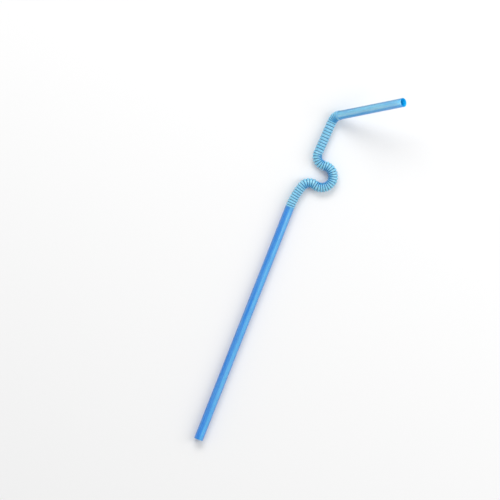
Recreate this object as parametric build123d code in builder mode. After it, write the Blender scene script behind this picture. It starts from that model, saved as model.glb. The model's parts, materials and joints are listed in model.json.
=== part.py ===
"""A plastic drinking straw with a long pleated neck that holds whatever bend it is given.

The straw is one thin-walled polypropylene tube, open from end to end.  From its lower end it runs
as a smooth shaft, then as a pleated neck, and ends in a short smooth tip.  The neck is bent flat,
into an arch, a bowl and a shoulder, and its last bend lifts the tip.  The straw lies down, with
its centre line one crest radius above the surface, and its length runs roughly along +Y.
"""

from build123d import *
import os

# Section of the tube
tube_radius = 3.0  # outside of the smooth shaft and of the tip
wall = 0.2  # measured along the radius
crest_radius = 3.25  # outside of a pleat
valley_radius = 2.7  # outside of the groove between two pleats
crest_share = 0.4  # part of each pleat's length that its flat crest takes
collar_length = 1.6  # plain band between the last pleat and the tip, as wide as a crest
collar_slope = 0.4  # end of the collar, where it comes down to the tip

# Centre line: headings and turns are in degrees, anticlockwise from +X
shaft_length = 164.0
shaft_heading = 68.5
sway_radius = 50.0
sway_turn = -18.0
arch_radius = 6.0
arch_turn = -90.0
bowl_radius = 7.25
bowl_turn = 207.0
shoulder_radius = 6.0
shoulder_turn = -101.5
riser_length = 22.5
tip_bend_radius = 6.0
tip_heading = 11.0
tip_rise = 40.0  # slope of the tip above the surface
tip_length = 54.4

# Length of one pleat along the centre line, closed up in the bends and pulled open in the riser
sway_pitch = 1.75
arch_pitch = 1.57
bowl_pitch = 1.54
shoulder_pitch = 1.52
riser_pitch = 2.05
tip_bend_pitch = 1.34


# The flat stretch of the centre line, from the lower end to the top of the riser
with BuildLine(Plane.XY.offset(crest_radius)):
    shaft_run = PolarLine((0, 0), shaft_length, shaft_heading)
    sway_run = JernArc(shaft_run @ 1, shaft_run % 1, sway_radius, sway_turn)
    arch_run = JernArc(sway_run @ 1, sway_run % 1, arch_radius, arch_turn)
    bowl_run = JernArc(arch_run @ 1, arch_run % 1, bowl_radius, bowl_turn)
    shoulder_run = JernArc(bowl_run @ 1, bowl_run % 1, shoulder_radius, shoulder_turn)
    riser_run = PolarLine(shoulder_run @ 1, riser_length, direction=shoulder_run % 1)

# The last bend turns in the slanting plane that holds both the riser and the tip
riser_direction = riser_run % 1
tip_direction = Vector(1, 0, 0).rotate(Axis.Y, -tip_rise).rotate(Axis.Z, tip_heading)
bend_normal = riser_direction.cross(tip_direction).normalized()
bend_angle = riser_direction.get_angle(tip_direction)

with BuildLine(Plane(riser_run @ 1, riser_direction, bend_normal)):
    tip_bend_run = JernArc((0, 0), (1, 0), tip_bend_radius, bend_angle)

# Every section of the neck has its x axis on one line of the tube, the line that faces up
up = Vector(0, 0, 1)
bend_axis = Axis((0, 0, 0), bend_normal)
up_after_bend = up.rotate(bend_axis, bend_angle)
lower_end = Plane(shaft_run @ 0, up, shaft_run % 0)
shaft_top = Plane(shaft_run @ 1, up, shaft_run % 1)
tip_start = Plane(tip_bend_run @ 1, up_after_bend, tip_direction).offset(collar_length)


def neck_sections():
    """Planes across the neck, in order, each with the outside radius of the tube there."""
    pleated_runs = [
        (sway_run, sway_pitch),
        (arch_run, arch_pitch),
        (bowl_run, bowl_pitch),
        (shoulder_run, shoulder_pitch),
        (riser_run, riser_pitch),
        (tip_bend_run, tip_bend_pitch),
    ]
    # Each pleat starts and ends in the middle of a crest, with its groove halfway
    pleat_outline = [
        (crest_share / 2, crest_radius),
        (0.5, valley_radius),
        (1 - crest_share / 2, crest_radius),
    ]
    sections = [(shaft_top, tube_radius)]
    for run, pitch in pleated_runs:
        count = round(run.length / pitch)
        for pleat in range(count):
            for share, radius in pleat_outline:
                along = (pleat + share) / count
                turned = bend_angle * along if run is tip_bend_run else 0
                facing_up = up.rotate(bend_axis, turned)
                sections.append((Plane(run @ along, facing_up, run % along), radius))
    sections.append((tip_start.offset(-collar_slope), crest_radius))
    sections.append((tip_start, tube_radius))
    return sections


def filled_straw(inset):
    """The straw's outer form drawn in by inset, as a solid rod."""
    with BuildPart() as rod:
        with BuildSketch(lower_end):
            Circle(tube_radius - inset)
        extrude(amount=shaft_length)
        for plane, radius in neck_sections():
            with BuildSketch(plane):
                Circle(radius - inset)
        loft(ruled=True)
        with BuildSketch(tip_start):
            Circle(tube_radius - inset)
        extrude(amount=tip_length)
    return rod.part


with BuildPart() as straw:
    add(filled_straw(0))
    add(filled_straw(wall), mode=Mode.SUBTRACT)

# The origin is under the middle of the straw, on the surface that it lies on
extent = straw.part.bounding_box()
middle = extent.center()
straw.part.locate(Location((-middle.X, -middle.Y, -extent.min.Z)))

straw.part.label = "straw"
os.makedirs("parts", exist_ok=True)
export_step(straw.part, "parts/straw.step")
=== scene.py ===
"""Looks of the plastic drinking straw: a smooth shaft, a pleated neck bent into an S, and a raised tip.

The straw lies on a pale floor, and the camera looks straight down on it. The straw's sizes are in
millimetres, as in the CAD model, and everything that Blender is given is in metres.
"""

import json
import math
import random

import bpy
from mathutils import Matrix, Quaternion, Vector


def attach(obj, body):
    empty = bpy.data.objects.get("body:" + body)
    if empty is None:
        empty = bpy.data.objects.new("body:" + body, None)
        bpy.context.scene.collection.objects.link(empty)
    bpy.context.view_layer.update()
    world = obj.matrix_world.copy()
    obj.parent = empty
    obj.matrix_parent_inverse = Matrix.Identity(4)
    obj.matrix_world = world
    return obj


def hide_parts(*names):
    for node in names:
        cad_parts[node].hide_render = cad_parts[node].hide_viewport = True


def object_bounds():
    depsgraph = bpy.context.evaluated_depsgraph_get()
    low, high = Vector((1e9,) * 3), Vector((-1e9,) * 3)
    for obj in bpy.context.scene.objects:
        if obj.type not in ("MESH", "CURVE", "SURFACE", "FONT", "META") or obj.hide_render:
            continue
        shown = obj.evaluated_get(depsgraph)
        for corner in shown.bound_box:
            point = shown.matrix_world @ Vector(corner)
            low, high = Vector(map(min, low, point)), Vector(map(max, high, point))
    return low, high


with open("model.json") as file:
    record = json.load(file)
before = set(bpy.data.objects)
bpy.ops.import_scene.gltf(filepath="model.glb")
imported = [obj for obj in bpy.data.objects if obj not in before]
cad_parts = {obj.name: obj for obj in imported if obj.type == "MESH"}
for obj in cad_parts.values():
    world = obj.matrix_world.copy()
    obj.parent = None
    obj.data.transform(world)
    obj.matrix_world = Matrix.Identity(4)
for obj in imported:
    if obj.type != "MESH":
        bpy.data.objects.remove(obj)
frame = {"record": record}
cad_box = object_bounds()
MOUNTS = {mount["name"]: mount for mount in frame["record"]["mounts"]}

# ---------------------------------------------------------------- sizes, in mm and degrees
MM = 0.001
TUBE_RADIUS = MOUNTS["shaft_outside"]["dims"]["r_mm"]
WALL = TUBE_RADIUS - MOUNTS["shaft_bore"]["dims"]["r_mm"]
SHAFT_LENGTH = MOUNTS["shaft_outside"]["dims"]["length_mm"]
TIP_LENGTH = MOUNTS["tip_outside"]["dims"]["length_mm"]
SHAFT_FLARE = 0.3  # end of the shaft, where it widens to the first pleat
CREST_RADIUS = 3.24
VALLEY_RADIUS = 2.66
FLAT_PLEAT_RADIUS = (CREST_RADIUS + VALLEY_RADIUS) / 2 + 0.05  # of a pleat with no depth
COLLAR_LENGTH = 1.6  # plain band between the last pleat and the tip
COLLAR_SLOPE = 0.4  # end of the collar, where it comes down to the tip
COLLAR_RADIUS = CREST_RADIUS - 0.04
RIM_ROUNDING = 0.06

# Runs of the neck's centre line: bend radius and turn, or length, then the length of a pleat and
# its depth, as a share of the full depth from crest to valley
SWAY = {"radius": 50.0, "turn": -18.0, "pitch": 1.75, "depth": 0.75}
ARCH = {"radius": 6.0, "turn": -90.0, "pitch": 1.57, "depth": 1.0}
BOWL = {"radius": 7.25, "turn": 207.0, "pitch": 1.54, "depth": 1.0}
SHOULDER = {"radius": 6.0, "turn": -101.5, "pitch": 1.52, "depth": 1.0}
RISER = {"length": 22.5, "pitch": 2.05, "depth": 0.55}
TIP_BEND = {"radius": 6.0, "pitch": 1.34, "depth": 0.9}
TIGHT_BEND = 7.5  # a bend of this radius or less gets the full pinch on its inside, where the material deepens the pleats' colour and painted shade

GROOVE_HALF_WIDTH = 0.27  # as a share of the pleat
LENGTH_UNEVENNESS = 0.10  # how far a pleat's length strays, as a share of it
LEAST_DEPTH = 0.94  # the shallowest pleat of a run, as a share of the run's depth

RING_POINTS = 48
RINGS_PER_PLEAT = 12
SMOOTH_STEP = 4.0  # distance between two rings on the shaft and the tip
TINY = 1e-9

random.seed(7)


# ---------------------------------------------------------------- centre line
class CentreLine:
    """A line of straight and circular runs, which carries one 'up' direction along without twist."""

    def __init__(self, start, direction, up):
        self.point = start
        self.direction = direction
        self.up = up
        self.length = 0.0
        self.runs = []

    def straight(self, length):
        self.runs.append((self.length, self.point, self.direction, self.up, None, None))
        self.point = self.point + self.direction * length
        self.length += length

    def bend(self, radius, turn, normal):
        """A circular run about normal, by the right-hand rule. turn is in radians and positive."""
        self.runs.append((self.length, self.point, self.direction, self.up, radius, normal))
        self.length += radius * turn
        self.point, self.direction, self.up = self.at(self.length)

    def run_at(self, distance):
        return [run for run in self.runs if run[0] <= distance + TINY][-1]

    def at(self, distance):
        """Point, direction and up at a distance along the line."""
        start, point, direction, up, radius, normal = self.run_at(distance)
        along = distance - start
        if radius is None:
            return point + direction * along, direction, up
        angle = along / radius
        turn = Quaternion(normal, angle)
        inward = normal.cross(direction)
        moved = point + radius * (math.sin(angle) * direction + (1 - math.cos(angle)) * inward)
        return moved, turn @ direction, turn @ up

    def inward(self, distance):
        """Towards the centre of the bend at a distance, shorter for a wide bend, or zero."""
        radius, normal = self.run_at(distance)[4:]
        if radius is None:
            return Vector((0, 0, 0))
        return normal.cross(self.at(distance)[1]) * min(1.0, TIGHT_BEND / radius)


def straw_centre_line():
    """The whole centre line, and where each pleated run starts and ends on it."""
    lower_end = Vector(MOUNTS["shaft_outside"]["pos_m"]) / MM
    shaft_direction = -Vector(MOUNTS["shaft_outside"]["axis"]).normalized()
    tip_direction = Vector(MOUNTS["tip_outside"]["axis"]).normalized()
    line = CentreLine(lower_end, shaft_direction, Vector((0, 0, 1)))
    line.straight(SHAFT_LENGTH)
    pleated_runs = []
    for run in (SWAY, ARCH, BOWL, SHOULDER, RISER, TIP_BEND):
        start = line.length
        if run is RISER:
            line.straight(run["length"])
        elif run is TIP_BEND:
            normal = line.direction.cross(tip_direction).normalized()
            line.bend(run["radius"], line.direction.angle(tip_direction), normal)
        else:
            normal = Vector((0, 0, math.copysign(1, run["turn"])))
            line.bend(run["radius"], math.radians(abs(run["turn"])), normal)
        pleated_runs.append((start, line.length, run))
    line.straight(COLLAR_LENGTH + TIP_LENGTH)
    return line, pleated_runs


# ---------------------------------------------------------------- the straw's mesh
def smooth_step(x):
    x = min(max(x, 0.0), 1.0)
    return x * x * (3 - 2 * x)


# A ring is (distance along the line, outside radius, share of a groove, share of the neck).

def pleat_rings(start, end, run):
    """Rings of the pleats between two places on the line, each pleat with its groove halfway."""
    count = round((end - start) / run["pitch"])
    shares = [1 + LENGTH_UNEVENNESS * random.uniform(-1, 1) for _ in range(count)]
    scale = (end - start) / sum(shares)
    rings, distance = [], start
    for share in shares:
        length = share * scale
        depth = run["depth"] * random.uniform(LEAST_DEPTH, 1.0)
        crest = FLAT_PLEAT_RADIUS + (CREST_RADIUS - FLAT_PLEAT_RADIUS) * depth
        valley = FLAT_PLEAT_RADIUS - (FLAT_PLEAT_RADIUS - VALLEY_RADIUS) * depth
        for i in range(RINGS_PER_PLEAT):
            part = i / RINGS_PER_PLEAT
            height = smooth_step(abs(part - 0.5) / GROOVE_HALF_WIDTH)
            radius = valley + (crest - valley) * height
            rings.append((distance + part * length, radius, 1 - height, 1.0))
        distance += length
    return rings


def smooth_rings(start, end):
    count = max(2, round((end - start) / SMOOTH_STEP))
    return [(start + (end - start) * i / count, TUBE_RADIUS, 0.0, 0.0) for i in range(count + 1)]


def straw_rings(line, pleated_runs):
    """Rings of the outside, from the lower end to the mouth."""
    neck_start = pleated_runs[0][0]
    neck_end = pleated_runs[-1][1]
    tip_start = neck_end + COLLAR_LENGTH
    rings = [(0.0, TUBE_RADIUS - RIM_ROUNDING, 0.0, 0.0)]
    rings += smooth_rings(RIM_ROUNDING, neck_start - SHAFT_FLARE)
    for start, end, run in pleated_runs:
        rings += pleat_rings(start, end, run)
    rings.append((neck_end, COLLAR_RADIUS, 0.0, 1.0))
    rings.append((neck_end + COLLAR_LENGTH / 2, COLLAR_RADIUS, 0.0, 0.8))
    rings.append((tip_start - COLLAR_SLOPE, COLLAR_RADIUS, 0.0, 0.6))
    rings += smooth_rings(tip_start, line.length - RIM_ROUNDING)
    rings.append((line.length, TUBE_RADIUS - RIM_ROUNDING, 0.0, 0.0))
    return rings


def straw_points(line, rings):
    """The points of both skins, and at each the values that the material reads."""
    vertices, tube = [], []
    values = {name: [] for name in ("groove", "neck", "inside", "pinch", "tip")}
    tip_start = line.length - TIP_LENGTH
    for skin, inset in enumerate((0.0, WALL)):
        for place, (distance, radius, groove, neck) in enumerate(rings):
            point, direction, up = line.at(distance)
            side = direction.cross(up)
            inward = line.inward(distance)
            at_end = place in (0, len(rings) - 1)
            ring_radius = radius - inset + (2 * RIM_ROUNDING if skin and at_end else 0)
            for i in range(RING_POINTS):
                angle = 2 * math.pi * i / RING_POINTS
                outward = up * math.cos(angle) + side * math.sin(angle)
                vertices.append((point + outward * ring_radius) * MM)
                tube.append((radius * math.cos(angle), radius * math.sin(angle), distance))
                values["groove"].append(groove)
                values["neck"].append(neck)
                values["inside"].append(float(skin))
                # How far this point faces the inside of a bend: the material darkens the folded pleats
                # there with painted shade and the stacked plastic's deeper colour
                values["pinch"].append(outward.dot(inward))
                values["tip"].append(float(distance >= tip_start - 0.01))
    return vertices, tube, values


def band(first, second, flipped):
    """The faces between two rings, given by the number of each ring's first point."""
    faces = []
    for i in range(RING_POINTS):
        j = (i + 1) % RING_POINTS
        quad = (first + i, first + j, second + j, second + i)
        faces.append(quad[::-1] if flipped else quad)
    return faces


def straw_mesh(line, rings):
    """A closed tube: the outside, the inside one wall further in, and a rim at each end."""
    vertices, tube, values = straw_points(line, rings)
    starts = [ring * RING_POINTS for ring in range(2 * len(rings))]
    outer, inner = starts[:len(rings)], starts[len(rings):]
    faces = []
    for skin, flipped in ((outer, False), (inner, True)):
        for first, second in zip(skin, skin[1:]):
            faces += band(first, second, flipped)
    faces += band(outer[0], inner[0], True)
    faces += band(outer[-1], inner[-1], False)
    mesh = bpy.data.meshes.new("straw_skin")
    mesh.from_pydata([tuple(vertex) for vertex in vertices], [], faces)
    mesh.validate()
    mesh.shade_smooth()
    for name, numbers in values.items():
        mesh.attributes.new(name, "FLOAT", "POINT").data.foreach_set("value", numbers)
    flat = [number for place in tube for number in place]
    mesh.attributes.new("tube", "FLOAT_VECTOR", "POINT").data.foreach_set("vector", flat)
    return mesh


# ---------------------------------------------------------------- materials
def srgb(red, green, blue):
    """A linear colour from sRGB values of 0 to 255."""
    def linear(value):
        value /= 255
        return value / 12.92 if value <= 0.04045 else ((value + 0.055) / 1.055) ** 2.4
    return (linear(red), linear(green), linear(blue), 1.0)


# Painted light and shade across the tube, from its left side to its right as seen from the lower end:
# darker edges and a pale highlight streak on the shaft, a dark edge and a pale lit side on the tip
SHAFT_PAINTED_LIGHT_AND_SHADE = (
    (0.0, srgb(14, 98, 190)), (0.14, srgb(26, 128, 226)), (0.45, srgb(24, 130, 230)),
    (0.68, srgb(84, 178, 246)), (0.86, srgb(58, 158, 240)), (1.0, srgb(20, 108, 200)),
)
TIP_PAINTED_LIGHT_AND_SHADE = (
    (0.0, srgb(20, 120, 170)), (0.10, srgb(108, 190, 236)), (0.42, srgb(150, 212, 246)),
    (0.62, srgb(60, 164, 242)), (0.86, srgb(36, 146, 240)), (1.0, srgb(120, 190, 244)),
)
STREAK_BLUE = srgb(150, 212, 250)
CLOUD_BLUE = srgb(20, 110, 214)
# Pleat crests: paler partly from the plastic's own stress-whitening and partly as painted highlight
CREST_WHITENING_AND_HIGHLIGHT_BLUES = (srgb(120, 196, 238), srgb(142, 210, 244))
# Crests folded together on the inside of a bend: deeper colour of the stacked plastic, and painted
# shade between the pleats
FOLDED_CREST_STACK_AND_SHADE_BLUE = srgb(30, 146, 222)
VALLEY_PAINTED_SHADE_BLUES = (srgb(34, 106, 156), srgb(4, 74, 136))  # painted shade in the grooves, on the outside of a bend, and deeper on its inside
INSIDE_BLUE = srgb(26, 178, 246)
FLOOR_GREY = (0.86, 0.86, 0.86, 1)

PLASTIC = {
    "IOR": 1.49,
    "Subsurface Weight": 0.35,
    "Subsurface Radius": (0.3, 0.7, 1.0),
    "Subsurface Scale": 0.0015,
    "Coat Weight": 0.35,
    "Coat Roughness": 0.12,
}


def node(tree, kind, **settings):
    made = tree.nodes.new(kind)
    for name, value in settings.items():
        setattr(made, name, value)
    return made


def set_inputs(shader, values):
    for name, value in values.items():
        shader.inputs[name].default_value = value


def mix_colour(tree, factor, first, second):
    """first where factor is 0 and second where it is 1. Each is a socket or a colour."""
    mixer = node(tree, "ShaderNodeMix", data_type="RGBA")
    for name, value in (("Factor", factor), ("A", first), ("B", second)):
        target = [socket for socket in mixer.inputs if socket.name == name and socket.enabled][0]
        if isinstance(value, bpy.types.NodeSocket):
            tree.links.new(value, target)
        else:
            target.default_value = value
    return [socket for socket in mixer.outputs if socket.enabled][0]


def attribute(tree, name, output="Fac"):
    return node(tree, "ShaderNodeAttribute", attribute_name=name).outputs[output]


def scaled_noise(tree, vector, scale, detail, roughness=0.5):
    mapping = node(tree, "ShaderNodeMapping")
    set_inputs(mapping, {"Scale": scale})
    tree.links.new(vector, mapping.inputs["Vector"])
    noise = node(tree, "ShaderNodeTexNoise")
    set_inputs(noise, {"Scale": 1.0, "Detail": detail, "Roughness": roughness})
    tree.links.new(mapping.outputs["Vector"], noise.inputs["Vector"])
    return noise.outputs["Fac"]


def remap(tree, value, low, high, to_low, to_high):
    ranged = node(tree, "ShaderNodeMapRange")
    set_inputs(ranged, {"From Min": low, "From Max": high, "To Min": to_low, "To Max": to_high})
    tree.links.new(value, ranged.inputs["Value"])
    return ranged.outputs["Result"]


def colour_ramp(tree, value, stops):
    ramp = node(tree, "ShaderNodeValToRGB")
    elements = ramp.color_ramp.elements
    while len(elements) < len(stops):
        elements.new(0.5)
    for element, (position, colour) in zip(elements, stops):
        element.position = position
        element.color = colour
    tree.links.new(value, ramp.inputs["Fac"])
    return ramp.outputs["Color"]


def smooth_tube_colour(tree, tube, streaks, clouds):
    """The shaft and the tip: painted light and shade across the tube, with long pale streaks and deeper
    clouds.
    """
    across = node(tree, "ShaderNodeSeparateXYZ")
    tree.links.new(tube, across.inputs["Vector"])
    side = remap(tree, across.outputs["Y"], -TUBE_RADIUS, TUBE_RADIUS, 0, 1)
    # Painted light and shade across the shaft and across the tip, by the side of the tube
    shaft = colour_ramp(tree, side, SHAFT_PAINTED_LIGHT_AND_SHADE)
    tip = colour_ramp(tree, side, TIP_PAINTED_LIGHT_AND_SHADE)
    shaded = mix_colour(tree, attribute(tree, "tip"), shaft, tip)
    streaked = mix_colour(tree, remap(tree, streaks, 0.35, 0.65, 0, 0.22), shaded, STREAK_BLUE)
    return mix_colour(tree, remap(tree, clouds, 0.4, 0.7, 0, 0.18), streaked, CLOUD_BLUE)


def pleat_colour(tree, clouds):
    """Pale crests, partly the plastic's own whitening and partly painted highlight, and valleys dark
    with painted shade, both deeper on the inside of a bend, from the stacked plastic's deeper colour
    and darker painted shade.
    """
    pinch = attribute(tree, "pinch")
    # Pale crests, partly the plastic's own whitening and partly painted highlight
    crest = mix_colour(tree, remap(tree, clouds, 0.35, 0.65, 0, 1), *CREST_WHITENING_AND_HIGHLIGHT_BLUES)
    # Painted shade, with the stacked plastic's deeper colour, on crests folded on the inside of a bend
    folded = mix_colour(tree, remap(tree, pinch, -0.2, 0.9, 0, 0.85), crest, FOLDED_CREST_STACK_AND_SHADE_BLUE)
    # Painted shade in the valleys, darker on the inside of a bend
    valley = mix_colour(tree, remap(tree, pinch, -0.9, 0.3, 0, 1), *VALLEY_PAINTED_SHADE_BLUES)
    return mix_colour(tree, remap(tree, attribute(tree, "groove"), 0.35, 0.95, 0, 1), folded, valley)


def straw_plastic():
    """Glossy blue polypropylene, not see-through, with light spread below its surface."""
    material = bpy.data.materials.new("straw_plastic")
    material.use_nodes = True
    tree = material.node_tree
    tree.nodes.clear()
    tube = attribute(tree, "tube", "Vector")
    streaks = scaled_noise(tree, tube, (1.6, 1.6, 0.03), 3.0)
    clouds = scaled_noise(tree, tube, (0.25, 0.25, 0.12), 2.0)
    scuffs = scaled_noise(tree, tube, (3.0, 3.0, 0.5), 4.0, 0.6)

    smooth = smooth_tube_colour(tree, tube, streaks, clouds)
    outside = mix_colour(tree, attribute(tree, "neck"), smooth, pleat_colour(tree, clouds))
    colour = mix_colour(tree, attribute(tree, "inside"), outside, INSIDE_BLUE)
    bump = node(tree, "ShaderNodeBump")
    set_inputs(bump, {"Strength": 0.12, "Distance": 0.00004})
    tree.links.new(streaks, bump.inputs["Height"])

    plastic = node(tree, "ShaderNodeBsdfPrincipled")
    set_inputs(plastic, PLASTIC)
    tree.links.new(colour, plastic.inputs["Base Color"])
    tree.links.new(remap(tree, scuffs, 0.3, 0.7, 0.22, 0.36), plastic.inputs["Roughness"])
    tree.links.new(bump.outputs["Normal"], plastic.inputs["Normal"])
    out = node(tree, "ShaderNodeOutputMaterial")
    tree.links.new(plastic.outputs["BSDF"], out.inputs["Surface"])
    return material


def floor_material():
    """Matt pale grey."""
    material = bpy.data.materials.new("pale_floor")
    material.use_nodes = True
    shader = material.node_tree.nodes["Principled BSDF"]
    set_inputs(shader, {"Base Color": FLOOR_GREY, "Roughness": 0.9, "Specular IOR Level": 0.1})
    return material


# ---------------------------------------------------------------- scene, in metres
FLOOR_SIZE = 4.0
WORLD_BRIGHTNESS = 0.62
CAMERA_HEIGHT = 9.0
SENSOR_WIDTH = 36.0  # in mm
VIEW_WIDTH = 0.3277  # of the picture, at the height of the straw's crests
# The picture's centre as shares of the CAD box: the straw stands right of it and a little above
VIEW_CENTRE = (0.264, 0.558)


def add_object(name, data):
    made = bpy.data.objects.new(name, data)
    bpy.context.scene.collection.objects.link(made)
    return made


def add_floor(size):
    half = size / 2
    corners = [(-half, -half, 0), (half, -half, 0), (half, half, 0), (-half, half, 0)]
    mesh = bpy.data.meshes.new("floor")
    mesh.from_pydata(corners, [], [(0, 1, 2, 3)])
    mesh.materials.append(floor_material())
    floor = add_object("floor", mesh)


def add_softbox(name, place, size, power):
    """A rectangular area light that points at the middle of the floor."""
    light = bpy.data.lights.new(name, "AREA")
    light.shape = "RECTANGLE"
    light.size, light.size_y = size
    light.energy = power
    softbox = add_object(name, light)
    softbox.location = place
    softbox.rotation_euler = (-Vector(place)).to_track_quat("-Z", "Y").to_euler()


def add_world():
    world = bpy.data.worlds.new("studio")
    world.use_nodes = True
    background = world.node_tree.nodes["Background"]
    set_inputs(background, {"Color": (1, 1, 1, 1), "Strength": WORLD_BRIGHTNESS})
    bpy.context.scene.world = world


def add_camera():
    """A long lens straight above the straw, with +Y up in the picture."""
    low, high = Vector(cad_box[0]), Vector(cad_box[1])
    x = low.x + VIEW_CENTRE[0] * (high.x - low.x)
    y = low.y + VIEW_CENTRE[1] * (high.y - low.y)
    lens = bpy.data.cameras.new("camera")
    lens.sensor_width = SENSOR_WIDTH
    lens.lens = SENSOR_WIDTH * (CAMERA_HEIGHT - CREST_RADIUS * MM) / VIEW_WIDTH
    camera = add_object("camera", lens)
    camera.location = (x, y, CAMERA_HEIGHT)
    bpy.context.scene.camera = camera


line, pleated_runs = straw_centre_line()
straw = add_object("straw_tube", straw_mesh(line, straw_rings(line, pleated_runs)))
straw.data.materials.append(straw_plastic())
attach(straw, "root")
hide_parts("straw")

add_floor(FLOOR_SIZE)
add_world()
add_softbox("top_softbox", (-0.1, 0.9, 0.9), (1.0, 0.5), 8.0)
add_softbox("right_softbox", (0.9, 0.0, 0.8), (0.5, 1.0), 5.0)
add_camera()
bpy.context.scene.view_settings.view_transform = "Standard"
